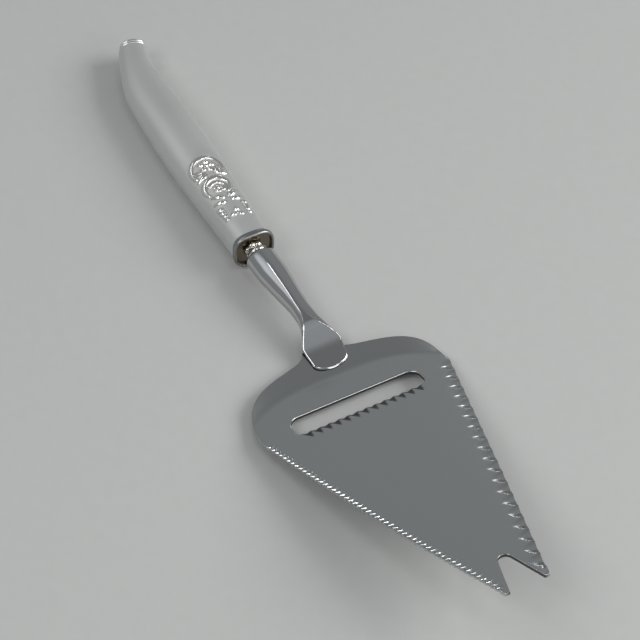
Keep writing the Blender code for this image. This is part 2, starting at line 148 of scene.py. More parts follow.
def rounded(depth, radius):
    """How far a rounded rim lies below its face, at a depth in from the edge."""
    if depth >= radius:
        return 0.0
    return radius - math.sqrt(radius ** 2 - (radius - depth) ** 2)


# The blade's plan is drawn as closed loops, with rows of points inside them wherever the steel is shaped.
tooth_step = TOOTH_PITCH * math.cos(TAPER) / TOOTH_STOPS
flute_step = FLUTE_PITCH * math.cos(TAPER) / FLUTE_STOPS
right_line = [heel_point(1.0 - i / HEEL_STOPS, -1) for i in range(HEEL_STOPS)]
left_line = [heel_point(1.0 - i / HEEL_STOPS, 1) for i in range(HEEL_STOPS - 2)]
right_stops = [SHOULDERS[-1]["at"] + 0.4 * i for i in range(6)]
right_stops += [TEETH_FROM + tooth_step * i for i in range(TOOTH_STOPS * TEETH + 1)]
left_stops = [FLUTES_FROM + flute_step * i for i in range(FLUTE_STOPS * FLUTES + 1)]
right_line += [(s, half_width(s, -1.0)) for s in right_stops] + [(TIP_AT, PRONG_HALF)]
left_line += [(s, half_width(s, 1.0)) for s in left_stops] + [(TIP_AT, PRONG_HALF)]
notch_centre = TIP_AT - NOTCH_DEPTH + NOTCH_RADIUS
notch_line = []
for i in range(25):
    turn = math.pi / 2.0 + NOTCH_FLARE + (math.pi - 2.0 * NOTCH_FLARE) * i / 24.0
    notch_line.append((notch_centre + NOTCH_RADIUS * math.cos(turn), NOTCH_RADIUS * math.sin(turn)))
flank_from = notch_line[0]
flank_run = TIP_AT - flank_from[0]
flank_rise = flank_run * math.tan(NOTCH_FLARE)
flank = [(flank_from[0] + flank_run * i / 24.0, flank_from[1] + flank_rise * i / 24.0)
         for i in range(24, 0, -1)]
outline = [(s, -h) for s, h in right_line]
outline += [(s, -h) for s, h in flank] + notch_line[::-1] + flank[::-1]
outline += left_line[::-1]
outline += [(HEEL_END_AT, HEEL_END_HALF * (1.0 - i / 6.0)) for i in range(1, 12)]

slot_line = []
for side_s, side_y, quarter in ((1, 1, 0), (-1, 1, 1), (-1, -1, 2), (1, -1, 3)):
    corner = LIP_CORNERS[side_y] if side_s > 0 else SLOT_CORNER
    centre_s = LIP_AT - corner if side_s > 0 else SLOT_REAR_AT + corner
    straight = SLOT_HALF - corner
    for i in range(13):
        turn = math.radians(90.0 * quarter + 7.5 * i)
        slot_line.append((centre_s + corner * math.cos(turn), side_y * straight + corner * math.sin(turn)))
    if side_y > 0 and side_s < 0:
        slot_line += [(SLOT_REAR_AT, straight - 2.0 * straight * i / 60.0) for i in range(1, 60)]
slot_line += [(LIP_AT, LIP_FROM + LIP_PITCH * i / 8.0) for i in range(1, 8 * LIP_TEETH + 1)]
slot_line.reverse()

points = [(s, y, 0.0) for s, y in outline + slot_line]
loops = [list(range(len(outline))), list(range(len(outline), len(points)))]
edge_tree = kdtree.KDTree(len(points))
for i, (s, y, _) in enumerate(points):
    edge_tree.insert((s, y, 0.0), i)
edge_tree.balance()
RIM_INSETS = (0.03, 0.08, 0.16, 0.3, 0.7)
TOOTH_INSETS = (0.05, 0.16, 0.35, 0.6, 0.9, 1.2, 1.5, 1.8, 2.1, 2.5, 3.0)
FLUTE_INSETS = (0.05, 0.16, 0.4, 0.8, 1.3, 1.8, 2.3, 2.8, 3.3, 3.8, 4.3, 4.9, 5.6)
LIP_INSETS = (0.05, 0.16, 0.3, 0.55, 0.8, 1.1, 1.4, 1.7, 2.0, 2.4, 2.8, 3.2, 3.7)
for loop in loops:
    for i, here in enumerate(loop):
        s, y, _ = points[here]
        s0, y0, _ = points[loop[i - 1]]
        s1, y1, _ = points[loop[(i + 1) % len(loop)]]
        long = math.hypot(s1 - s0, y1 - y0)
        insets = RIM_INSETS
        if loop is loops[1] and abs(s - LIP_AT) < 0.01:
            insets = LIP_INSETS
        elif loop is loops[0] and s > FLUTES_FROM and abs(y) > half_width(s, y) - 0.01:
            insets = FLUTE_INSETS if y > 0.0 else TOOTH_INSETS
        for inset in insets:
            at = (s - (y1 - y0) / long * inset, y + (s1 - s0) / long * inset)
            if edge_tree.find((*at, 0.0))[2] > 0.9 * inset:
                points.append((*at, inset))
shaped = kdtree.KDTree(len(points))
for i, (s, y, _) in enumerate(points):
    shaped.insert((s, y, 0.0), i)
shaped.balance()
rows = [(HEEL_END_AT + HEEL_ROW * i, HEEL_ROW) for i in range(1, 30)]
rows += [(PLATE_FROM + PLATE_ROW * i, PLATE_ROW) for i in range(34)]
for s, gap in rows:
    count = max(1, round(half_width(s, 1.0) / gap))
    for j in range(-count, count + 1):
        half = half_width(s, j)
        y = half * j / count
        in_slot = SLOT_REAR_AT < s < LIP_AT and abs(y) < SLOT_HALF
        in_notch = s > notch_centre and abs(y) < NOTCH_RADIUS + (s - notch_centre) * math.tan(NOTCH_FLARE)
        if not in_slot and not in_notch and abs(y) < half and shaped.find((s, y, 0.0))[2] > 0.6 * gap:
            points.append((s, y, FAR_INSET))
loop_edges = [(a, b) for loop in loops for a, b in zip(loop, loop[1:] + loop[:1])]
plan = delaunay_2d_cdt([Vector((s, y)) for s, y, _ in points], loop_edges, [], 1, 1e-5, True)
plan_points, plan_from = plan[0], plan[3]
found = {source: i for i, sources in enumerate(plan_from) for source in sources}
rim = {found[i] for loop in loops for i in loop}


def in_steel(face):
    """Whether a triangle between rim points alone lies in the sheet, not in the slot, notch or outside."""
    s, y = (sum(plan_points[k][axis] for k in face) / 3.0 for axis in (0, 1))
    crossed = 0
    for a, b in loop_edges:
        (s0, y0, _), (s1, y1, _) = points[a], points[b]
        if (y0 > y) != (y1 > y) and s < s0 + (s1 - s0) * (y - y0) / (y1 - y0):
            crossed += 1
    return crossed % 2 == 1


plan_faces = [f for f in plan[2] if not rim.issuperset(f) or in_steel(f)]

tops = []
bottoms = []
marks = {edge + part: [] for edge in ("tooth", "flute", "lip") for part in ("_along", "_inset")}
for i, sources in enumerate(plan_from):
    s, y = plan_points[i]
    inset = points[sources[0]][2] if sources else FAR_INSET
    by_slot = SLOT_REAR_AT - NEAR_SLOT < s < LIP_AT + NEAR_SLOT and abs(y) < SLOT_HALF + NEAR_SLOT
    low = sheet_height(s, y)
    high = low + SHEET
    if y < 0.0 and GRIND_FROM < s < TEETH_FROM and not by_slot:
        high -= rounded(inset, 2.0 * RIM_ROUND)
    else:
        high -= rounded(inset, SLOT_ROUND if by_slot and s < LIP_AT - 0.1 else RIM_ROUND)
    for lift, stack in ((high, tops), (low + rounded(inset, 0.5 * RIM_ROUND), bottoms)):
        stack.append(((crease_x + s * math.cos(PITCH) - lift * math.sin(PITCH)) * MM, y * MM,
                      (crease_z + s * math.sin(PITCH) + lift * math.cos(PITCH)) * MM))
    from_edge = (half_width(s, y) - abs(y)) * math.cos(TAPER) if s > GRIND_FROM else FAR_INSET
    edge_s = s + from_edge * math.sin(TAPER)
    tooth = (edge_s - TEETH_FROM) / (TOOTH_PITCH * math.cos(TAPER))
    flute = (edge_s - FLUTES_FROM) / (FLUTE_PITCH * math.cos(TAPER))
    lip = (y - LIP_FROM - LIP_LEAN * (s - LIP_AT)) / LIP_PITCH
    marks["tooth_along"].append(tooth)
    marks["tooth_inset"].append(from_edge * MM if y < 0.0 and 0.0 <= tooth <= TEETH else FAR_INSET)
    marks["flute_along"].append(flute)
    marks["flute_inset"].append(from_edge * MM if y > 0.0 and 0.0 <= flute <= FLUTES else FAR_INSET)
    marks["lip_along"].append(lip)
    on_lip = s > LIP_AT - 0.1 and 0.0 <= lip <= LIP_TEETH
    marks["lip_inset"].append((s - LIP_AT) * MM if on_lip else FAR_INSET)

size = len(tops)
faces = [tuple(f) for f in plan_faces] + [tuple(size + k for k in reversed(f)) for f in plan_faces]
for a, b in loop_edges:
    a, b = found[a], found[b]
    faces.append((a, a + size, b + size, b))


def put(name, verts, faces):
    """A mesh object at the origin, from points in metres."""
    mesh = bpy.data.meshes.new(name)
    mesh.from_pydata(verts, [], faces)
    made = bpy.data.objects.new(name, mesh)
    bpy.context.scene.collection.objects.link(made)
    return made


def mark(piece, name, values):
    """Writes one number for each point of a piece, for its nodes to read."""
    piece.data.attributes.new(name, "FLOAT", "POINT").data.foreach_set("value", values)


def linear(code):
    """A colour written as sRGB hex, as the linear values that a shader takes."""
    parts = [int(code[i:i + 2], 16) / 255.0 for i in (1, 3, 5)]
    return (*[p / 12.92 if p <= 0.04045 else ((p + 0.055) / 1.055) ** 2.4 for p in parts], 1.0)


def node(tree, kind, inputs=None, **settings):
    """Adds a node with its settings, and fills each input with a value or a link from a socket."""
    made = tree.nodes.new(kind)
    for name, value in settings.items():
        setattr(made, name, value)
    for key, value in (inputs or {}).items():
        if isinstance(value, bpy.types.NodeSocket):
            tree.links.new(value, made.inputs[key])
        else:
            made.inputs[key].default_value = value
    return made


def reckon(tree, operation, *values, **settings):
    """The result of a math node on numbers or sockets."""
    return node(tree, "ShaderNodeMath", dict(enumerate(values)), operation=operation, **settings).outputs[0]


def scaled(tree, vector, by):
    """A vector made so many times as long."""
    return node(tree, "ShaderNodeVectorMath", {0: vector, "Scale": by}, operation="SCALE").outputs[0]


def remap(tree, value, low, high, to_low, to_high):
    """A value carried from one span over to another, and held inside it."""
    spans = {0: value, 1: low, 2: high, 3: to_low, 4: to_high}
    return node(tree, "ShaderNodeMapRange", spans).outputs[0]


def blend(tree, share, first, second):
    """A colour between two, each written as hex or taken from a socket."""
    a, b = (linear(colour) if isinstance(colour, str) else colour for colour in (first, second))
    return node(tree, "ShaderNodeMix", {"Factor": share, 6: a, 7: b}, data_type="RGBA").outputs[2]


def noise(tree, where, apart, detail):
    """A cloudy pattern whose spots lie about so many millimetres apart."""
    pattern = {"Vector": where, "Scale": 1.0 / (apart * MM), "Detail": detail}
    return node(tree, "ShaderNodeTexNoise", pattern).outputs[0]


def bumps(tree, shader, height, strength, distance):
    """Lets a pattern tilt the light on a finish, by a distance in millimetres."""
    bump = node(tree, "ShaderNodeBump", {"Height": height, "Strength": strength, "Distance": distance * MM})
    tree.links.new(bump.outputs[0], shader.inputs["Normal"])


def number_on(tree, name):
    """A number that was written on each point, in a geometry tree."""
    return node(tree, "GeometryNodeInputNamedAttribute", {"Name": name}, data_type="FLOAT").outputs[0]


def write_on(tree, geometry, name, value):
    """Geometry with a number written on each of its points."""
    inputs = {"Geometry": geometry, "Name": name, "Value": value}
    kind = {"data_type": "FLOAT", "domain": "POINT"}
    return node(tree, "GeometryNodeStoreNamedAttribute", inputs, **kind).outputs[0]


def end_tree(tree, geometry, finish):
    """Ends a geometry tree: instances become mesh, and the finish goes on."""
    whole = node(tree, "GeometryNodeRealizeInstances", {"Geometry": geometry}).outputs[0]
    coated = node(tree, "GeometryNodeSetMaterial", {"Geometry": whole, "Material": finish}).outputs[0]
    node(tree, "NodeGroupOutput", {"Geometry": coated})


def finish_of(name):
    """A new material, its node tree and its Principled shader."""
    made = bpy.data.materials.new(name)
    made.use_nodes = True
    return made, made.node_tree, made.node_tree.nodes["Principled BSDF"]


def tree_of(name, sockets):
    """A new geometry tree with a geometry input and output and named sockets, and its input's sockets."""
    tree = bpy.data.node_groups.new(name, "GeometryNodeTree")
    tree.interface.new_socket("Geometry", in_out="OUTPUT", socket_type="NodeSocketGeometry")
    tree.interface.new_socket("Geometry", in_out="INPUT", socket_type="NodeSocketGeometry")
    for socket, kind in sockets.items():
        tree.interface.new_socket(socket, in_out="INPUT", socket_type="NodeSocket" + kind)
    return tree, node(tree, "NodeGroupInput").outputs


def run_tree(piece, tree, **values):
    """Adds a tree to a piece, with its inputs set by their sockets' identifiers."""
    step = piece.modifiers.new(tree.name, "NODES")
    step.node_group = tree
    for item in tree.interface.items_tree:
        if item.in_out == "INPUT" and item.name.replace(" ", "_") in values:
            step[item.identifier] = values[item.name.replace(" ", "_")]


def settle(piece, sharp=50.0):
    """Makes a piece's modifiers its plain mesh, shaded smooth but for edges over an angle in degrees."""
    bpy.context.view_layer.update()
    made = bpy.data.meshes.new_from_object(piece.evaluated_get(bpy.context.evaluated_depsgraph_get()))
    piece.modifiers.clear()
    piece.data = made
    made.shade_smooth()
    made.set_sharp_from_angle(angle=math.radians(sharp))


def dress(piece, slot, *nodes):
    """A piece rides on the slicer's one body and stands for its solids, which it hides. Its slot is not
    used.
    """
    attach(piece, "root")
    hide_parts(*nodes)


# Polished 18/10 stainless: a soft grey mirror, keener on the ground faces and rougher where it was sheared,
# with faint lines of the polishing belt along the blade, about 0.3 mm apart, and the slow waviness of
# rolled sheet. The sheared walls of the slot and fork, the lip's teeth and one side of each flute are also
# painted dark grey: painted shade.
blade_steel, tree, shader = finish_of("polished_stainless_sheet")
shader.inputs["Metallic"].default_value = 1.0
# Painted shade: the marked walls and hollows take the dark grey, and a little more roughness.
cut = node(tree, "ShaderNodeAttribute", attribute_name="dull").outputs["Fac"]
tree.links.new(blend(tree, cut, "#C7CACA", "#5A5C5D"), shader.inputs["Base Color"])
where = node(tree, "ShaderNodeTexCoord").outputs["Object"]
belt = node(tree, "ShaderNodeMapping", {"Vector": where, "Scale": (40.0, 1.0 / (0.3 * MM), 40.0)})
lines = node(tree, "ShaderNodeTexNoise", {"Vector": belt.outputs[0], "Scale": 1.0, "Detail": 3.0})
gloss = remap(tree, lines.outputs[0], 0.0, 1.0, 0.16, 0.22)
ground = node(tree, "ShaderNodeAttribute", attribute_name="ground").outputs["Fac"]
keen = node(tree, "ShaderNodeMix", {"Factor": ground, "A": gloss, "B": 0.12}, data_type="FLOAT")
rough = reckon(tree, "MULTIPLY_ADD", cut, 0.25, keen.outputs[0])
tree.links.new(rough, shader.inputs["Roughness"])
bumps(tree, shader, noise(tree, where, 22.0, 1.0), 0.04, 1.0)

# One tree grinds all three edges: a row of hollows whose floor slopes down to the edge, each with a rise to
# both sides, pointed (power 1) for teeth or round (power 2) for flutes, that also eats into the outline.
grind, given = tree_of("ground_serrations", {
    "Along": "String", "Inset": "String", "Run": "Float", "Depth": "Float", "Rise": "Float",
    "Power": "Float", "Sweep": "Float", "Scallop": "Float", "Dull": "Float", "Dull From": "Float",
    "Down": "Vector", "Inward": "Vector", "Finish": "Material"})
along = number_on(grind, given["Along"])
inset = number_on(grind, given["Inset"])
upper = number_on(grind, "upper")
share = reckon(grind, "FRACT", along)
across = reckon(grind, "MULTIPLY_ADD", share, 2.0, -1.0)
off = reckon(grind, "ABSOLUTE", across)
curve = reckon(grind, "POWER", off, given["Power"])
rise = reckon(grind, "MULTIPLY", curve, given["Rise"])
near = remap(grind, inset, 0.0, given["Run"], 1.0, 0.0)
swept = reckon(grind, "POWER", near, given["Sweep"])
keel = reckon(grind, "MULTIPLY", swept, given["Depth"])
hollow = reckon(grind, "SUBTRACT", keel, rise)
ground = reckon(grind, "MAXIMUM", hollow, 0.0)
shown = reckon(grind, "MULTIPLY", ground, upper)
sink = scaled(grind, given["Down"], shown)
open_at = reckon(grind, "SUBTRACT", 1.0, curve)
steep = reckon(grind, "POWER", near, 3.0)
bite = reckon(grind, "MULTIPLY", open_at, steep)
eaten = reckon(grind, "MULTIPLY", bite, given["Scallop"])
draw_in = scaled(grind, given["Inward"], eaten)
shift = node(grind, "ShaderNodeVectorMath", {0: sink, 1: draw_in}, operation="ADD").outputs[0]
# Each hollow is marked to be painted darker and made rougher, past a set point across it: painted shade in
# the hollows. The ground faces are marked as well, for their keener polish.
before = number_on(grind, "dull")
far_side = reckon(grind, "ADD", given["Dull From"], 0.5)
shade_side = remap(grind, across, given["Dull From"], far_side, 0.0, given["Dull"])
hollow_shade = remap(grind, shown, 0.0, 0.08 * MM, 0.0, shade_side)
darkened = reckon(grind, "MAXIMUM", before, hollow_shade)
newly = remap(grind, shown, 0.0, 0.08 * MM, 0.0, 1.0)
either = reckon(grind, "MAXIMUM", number_on(grind, "ground"), newly)
kept = write_on(grind, given["Geometry"], "dull", darkened)
noted = write_on(grind, kept, "ground", either)
moved = node(grind, "GeometryNodeSetPosition", {"Geometry": noted, "Offset": shift}).outputs[0]
end_tree(grind, moved, given["Finish"])

# What the press sheared and nobody ground after it, in the slot and the fork, is marked to be rougher
# and painted dark: painted shade on those walls.
fork_rim = [k for k in loops[0] if points[k][0] > notch_centre - NEAR_NOTCH]
fork_rim = [k for k in fork_rim if abs(points[k][1]) < half_width(*points[k][:2]) - 0.01]
sheared_and_shaded = [0.0] * size
for i in loops[1] + fork_rim:
    sheared_and_shaded[found[i]] = 1.0
blade = put("blade_sheet", tops + bottoms, faces)
mark(blade, "dull", sheared_and_shaded + sheared_and_shaded)
mark(blade, "ground", [0.0] * (2 * size))
for name, values in marks.items():
    mark(blade, name, values + values)
mark(blade, "upper", [1.0] * size + [0.0] * size)
down = (math.sin(PITCH), 0.0, -math.cos(PITCH))


def inward(side):
    """The way in from an edge, square to it and in the blade's plane."""
    return (-math.sin(TAPER) * math.cos(PITCH), -side * math.cos(TAPER), -math.sin(TAPER) * math.sin(PITCH))


# The flutes get painted shade on one side of each, the lip's teeth all over, and the right edge's teeth
# none.
run_tree(blade, grind, Along="tooth_along", Inset="tooth_inset", Run=1.9 * MM, Depth=0.82 * MM,
         Rise=0.75 * MM, Power=1.0, Sweep=1.0, Scallop=0.35 * MM, Dull=0.0, Dull_From=0.0, Down=down,
         Inward=inward(-1), Finish=blade_steel)
run_tree(blade, grind, Along="flute_along", Inset="flute_inset", Run=4.6 * MM, Depth=0.62 * MM,
         Rise=0.42 * MM, Power=2.0, Sweep=2.0, Scallop=0.06 * MM, Dull=0.7, Dull_From=0.05, Down=down,
         Inward=inward(1), Finish=blade_steel)
run_tree(blade, grind, Along="lip_along", Inset="lip_inset", Run=3.4 * MM, Depth=0.44 * MM,
         Rise=0.38 * MM, Power=1.0, Sweep=1.0, Scallop=0.15 * MM, Dull=0.95, Dull_From=-2.0, Down=down,
         Inward=(math.cos(PITCH), 0.0, math.sin(PITCH)), Finish=blade_steel)
settle(blade)
dress(blade, "blade_steel", "blade")

# Shank: a forged and polished stainless bar. Its oval bolster butts on the collar, its neck draws in under
# a ridge that leans to the right, and its front is struck flat to a spade-shaped pad, pointed at the top,
# that is brazed on the blade's heel. Its tang runs back.
PAD_FRONT_AT = -3.4
PAD_CURVE_AT = -6.0
PAD_EDGE = 0.6
PAD_ROUND = 0.42
BRAZE_GAP = 0.15
BRAZE_FROM = -13.0
NECK_AT = -18.0
BOLSTER_AT = -40.0
BOLSTER_HALF = 4.65
BOLSTER_TOP = 11.4
BOLSTER_UNDER = 3.5
SHANK_END_AT = -46.4
TANG_LENGTH = 62.0
TANG_RADIUS = 1.8
TANG_TIP_RADIUS = 1.3
AXIS_HEIGHT = 7.3
RIDGES = ((SHANK_END_AT, 1.0), (BOLSTER_AT, 0.8), (-30.0, 0.6), (-19.7, 0.55))
LOW_POINTS = 13
UNCUT = 99.0


def smooth(stations, x):
    """A curve through (x, y) stations in rising x that never overshoots them."""
    if x <= stations[0][0]:
        return stations[0][1]
    if x >= stations[-1][0]:
        return stations[-1][1]
    spans = [(b[0] - a[0], (b[1] - a[1]) / (b[0] - a[0])) for a, b in zip(stations, stations[1:])]
    slopes = [spans[0][1]]
    for (h0, d0), (h1, d1) in zip(spans, spans[1:]):
        slopes.append(0.0 if d0 * d1 <= 0.0 else (h0 + h1) / (h1 / d0 + h0 / d1))
    slopes.append(spans[-1][1])
    i = max(k for k in range(len(spans)) if stations[k][0] <= x)
    span = spans[i][0]
    t = (x - stations[i][0]) / span
    return (stations[i][1] * (1.0 + 2.0 * t) * (1.0 - t) ** 2 + slopes[i] * span * t * (1.0 - t) ** 2
            + stations[i + 1][1] * t * t * (3.0 - 2.0 * t) - slopes[i + 1] * span * t * t * (1.0 - t))


heel_top = []
for i in range(80):
    s = -0.3 * (79 - i)
    lift = sheet_height(s, 0.0) + SHEET
    heel_top.append((s * math.cos(PITCH) - lift * math.sin(PITCH),
                     crease_z + s * math.sin(PITCH) + lift * math.cos(PITCH)))
front_top = smooth(heel_top, PAD_FRONT_AT) + BRAZE_GAP + PAD_EDGE

# Stations along the shank, by distance in front of the crease: its half-widths, its top and underside, the
# pad's struck face, and how far its middle and then its ridge stand over to the left.
HALVES = ((SHANK_END_AT, BOLSTER_HALF), (BOLSTER_AT, BOLSTER_HALF), (-34.0, 4.15), (-27.0, 3.4),
          (-22.5, 3.1), (-19.0, 3.2), (-16.5, 3.65), (-14.4, 4.35), (-12.6, 5.15), (-11.3, 5.75),
          (-10.5, 5.95), (-9.6, 5.85), (PAD_CURVE_AT, 5.35))
OVERS = ((SHANK_END_AT, BOLSTER_TOP), (BOLSTER_AT, 11.5), (-30.0, 11.0), (-21.0, 9.9), (NECK_AT, 9.3),
         (-16.3, 8.85), (-15.0, 8.05), (-13.5, 7.05), (-12.0, 6.0), (-10.5, 5.6), (-8.0, 5.2),
         (PAD_FRONT_AT, 4.0))
UNDERS = ((BOLSTER_AT, BOLSTER_UNDER), (NECK_AT, 4.5),
          (BRAZE_FROM, smooth(heel_top, BRAZE_FROM) + BRAZE_GAP))
PAD_FACE = ((-26.0, 13.0), (-19.7, 9.88), (-18.0, 9.36), (-16.3, 8.67), (-14.0, 7.0), (-10.4, 4.6),
            (-7.0, 3.25), (PAD_FRONT_AT, front_top))
ASIDE = ((SHANK_END_AT, 0.0), (-30.0, 0.4), (-15.0, 1.15), (PAD_FRONT_AT, 1.35))
RIDGE_ASIDE = ((SHANK_END_AT, 0.0), (-44.0, -0.4), (BOLSTER_AT, -0.5), (-30.0, -0.75), (-22.0, -1.15),
               (-18.5, -1.2), (-14.0, -0.5), (-11.0, 0.0))
POWERS = ((-17.0, 2.0), (-13.0, 2.6), (-9.0, 5.0))
POINTS = ((SHANK_END_AT, 0.25), (BOLSTER_AT, 0.35), (-30.0, 0.42), (NECK_AT, 0.42), (-11.0, 0.0))


def shank_half(x):
    """Half the shank's width: drawn stations, then the pad's rounded front."""
    if x <= PAD_CURVE_AT:
        return smooth(HALVES, x)
    t = min(1.0, (x - PAD_CURVE_AT) / (PAD_FRONT_AT - PAD_CURVE_AT))
    return HALVES[-1][1] * (1.0 - t ** 2.2) ** 0.5


def oval(x, half, middle, reach, power, point, cut, crown, lean):
    """A section at x: an oval below and a pointed arch above, cut at a level to a round edge and a crown."""
    shift = half * point / (1.0 - point)
    wide = half + shift
    tall = reach / math.sin(math.acos(point ** (power / 2.0))) ** (2.0 / power)
    ridge = math.acos(min(1.0, (shift + min(smooth(RIDGES, x), 0.5 * half)) / wide) ** (power / 2.0))
    level = math.asin(max(0.0, min(1.0, (cut - middle) / tall)) ** (power / 2.0))
    side = []
    for i in range(LOW_POINTS):
        turn = math.pi / 2.0 * (1.0 - i / LOW_POINTS)
        out = half * math.cos(turn) ** (2.0 / power)
        side.append((out, middle - reach * math.sin(turn) ** (2.0 / power)))
    for i in range(21):
        turn = min(ridge, level) * i / 20.0
        out = wide * math.cos(turn) ** (2.0 / power) - shift
        side.append((out, middle + tall * math.sin(turn) ** (2.0 / power)))
    (before, below), (corner, low) = side[-2:]
    steep = (low - below) / (before - corner) if level > 0.02 else 9.0
    if ridge < level:
        for i in range(11, -1, -1):
            y = corner * i / 12.0
            side.append((y, low + steep * (corner - y * y / corner) / 2.0))
    else:
        for depth in (0.03, 0.08, 0.15, 0.24, 0.33, PAD_ROUND):
            depth = min(depth, 0.8 * corner / lean)
            lift = math.sqrt(1.0 - (1.0 - depth / PAD_ROUND) ** 2)
            climb = min(max(0.0, crown - low), steep * corner / 2.0)
            side.append((corner - depth * lean, low + climb * lift))
        inner, top = side[-1]
        side += [(inner * (1.0 - i / 6.0), top) for i in range(1, 7)]
    ring = side + [(-y, z) for y, z in side[-2:0:-1]]
    aside = smooth(ASIDE, x)
    swing = smooth(RIDGE_ASIDE, x)
    placed = []
    for y, z in ring:
        leaning = swing * max(0.0, (z - middle) / reach) ** 2
        placed.append(((crease_x + x) * MM, (y + aside + leaning) * MM, z * MM))
    return placed


def loft(rings, wrap=False):
    """Points and outward faces of a skin over rings from the front back, closed by caps or on itself."""
    count = len(rings[0])
    faces = []
    for i in range(len(rings) - (0 if wrap else 1)):
        a, b = i * count, (i + 1) % len(rings) * count
        faces += [(a + k, b + k, b + (k + 1) % count, a + (k + 1) % count) for k in range(count)]
    if not wrap:
        last = (len(rings) - 1) * count
        faces += [tuple(range(count)), tuple(range(last + count - 1, last - 1, -1))]
    return [p for ring in rings for p in ring], faces


pad_run = PAD_FRONT_AT - PAD_CURVE_AT
stops = [PAD_CURVE_AT + pad_run * math.sin(math.radians(89.4 * i / 30.0)) for i in range(30, -1, -1)]
stops += [PAD_CURVE_AT - 0.25 * i for i in range(1, 62)] + [-22.3 - 0.6 * i for i in range(40)]
rings = []
for x in stops:
    half = max(shank_half(x), 0.12)
    slope = (shank_half(x + 0.01) - shank_half(x - 0.01)) / 0.02
    under = smooth(heel_top, x) + BRAZE_GAP if x > BRAZE_FROM else smooth(UNDERS, x)
    over = smooth(OVERS, x)
    face = smooth(PAD_FACE, x)
    cut = face - PAD_ROUND
    top = min(over, 2.0 * cut - under)
    middle, reach = (under + top) / 2.0, (top - under) / 2.0
    power, point = smooth(POWERS, x), smooth(POINTS, x)
    rings.append(oval(x, half, middle, reach, power, point, cut, min(face, over), math.hypot(1.0, slope)))

# The bolster's end is rounded off, and the tang runs back from it.
middle, reach = (BOLSTER_TOP + BOLSTER_UNDER) / 2.0, (BOLSTER_TOP - BOLSTER_UNDER) / 2.0
for x, shrink in ((-46.1, 0.12), (-46.3, 0.35), (SHANK_END_AT, 0.8)):
    half, top = BOLSTER_HALF - shrink, BOLSTER_TOP - shrink
    rings.append(oval(x, half, middle, reach - shrink, 2.0, POINTS[0][1], UNCUT, top, 1.0))
tang = ((0.0, TANG_RADIUS), (TANG_LENGTH - 0.5, TANG_TIP_RADIUS), (TANG_LENGTH, 0.7 * TANG_TIP_RADIUS))
for back, radius in tang:
    top = AXIS_HEIGHT + radius
    rings.append(oval(SHANK_END_AT - back, radius, AXIS_HEIGHT, radius, 2.0, 0.0, UNCUT, top, 1.0))
shank = put("shank_forging", *loft(rings))
around_bar = len(rings[0])
# The pad's lower sides are marked for the painted shade under it.
low_side = [1.0 if min(k, around_bar - k) <= LOW_POINTS else 0.0 for k in range(around_bar)]
shade_under_pad_marks = [low_side[k] if x > BRAZE_FROM else 0.0 for x in stops for k in range(around_bar)]
mark(shank, "painted_shade_under_pad", shade_under_pad_marks + [0.0] * (around_bar * (len(rings) - len(stops))))

# Forged stainless, wheel polished: a brighter mirror than the sheet, with a soft unevenness of the hammer
# every 6 mm or so and hair-fine wheel marks round the bar. The pad's lower sides, on the heel, are painted
# dark and made rougher: painted shade under the pad.
shank_steel, tree, shader = finish_of("wheel_polished_forging")
shader.inputs["Metallic"].default_value = 1.0
dull = node(tree, "ShaderNodeAttribute", attribute_name="painted_shade_under_pad").outputs["Fac"]
tree.links.new(blend(tree, dull, "#C6C8C9", "#45443F"), shader.inputs["Base Color"])
where = node(tree, "ShaderNodeTexCoord").outputs["Object"]
wheel = node(tree, "ShaderNodeMapping", {"Vector": where, "Scale": (1.0 / (0.4 * MM), 200.0, 200.0)})
hairs = node(tree, "ShaderNodeTexNoise", {"Vector": wheel.outputs[0], "Scale": 1.0, "Detail": 2.0})
gloss = remap(tree, hairs.outputs[0], 0.0, 1.0, 0.06, 0.13)
tree.links.new(reckon(tree, "MULTIPLY_ADD", dull, 0.4, gloss), shader.inputs["Roughness"])
bumps(tree, shader, noise(tree, where, 6.0, 1.0), 0.02, 0.5)
shank.data.materials.append(shank_steel)
settle(shank, 70.0)
dress(shank, "shank_steel", "shank")

# Collar: a cast silver spacer on the tang between the bolster and the cap. A turned bead stands in front of
# a ring of small lobes, which catch the light as a broken line.
COLLAR_PROFILE = ((-46.7, 2.15), (-46.7, 2.5), (-46.8, 2.75), (-47.0, 3.0), (-47.3, 3.2), (-47.65, 3.25),
                  (-48.0, 3.2), (-48.3, 3.0), (-48.5, 2.75), (-48.7, 2.55), (-49.0, 2.5), (-49.3, 2.6),
                  (-50.3, 2.6), (-50.6, 2.4), (-50.6, 2.15))
LOBES = 7
LOBES_AT = -49.6


def around(x, wide, high, power=2.0, count=96):
    """A closed ring round the handle's axis at x: a circle, or a squarer oval at higher powers."""
    ring = []
    for i in range(count):
        turn = 2.0 * math.pi * i / count
        c, s = math.cos(turn), math.sin(turn)
        ring.append(((crease_x + x) * MM, wide * math.copysign(abs(c) ** (2.0 / power), c) * MM,
                     (AXIS_HEIGHT + high * math.copysign(abs(s) ** (2.0 / power), s)) * MM))
    return ring


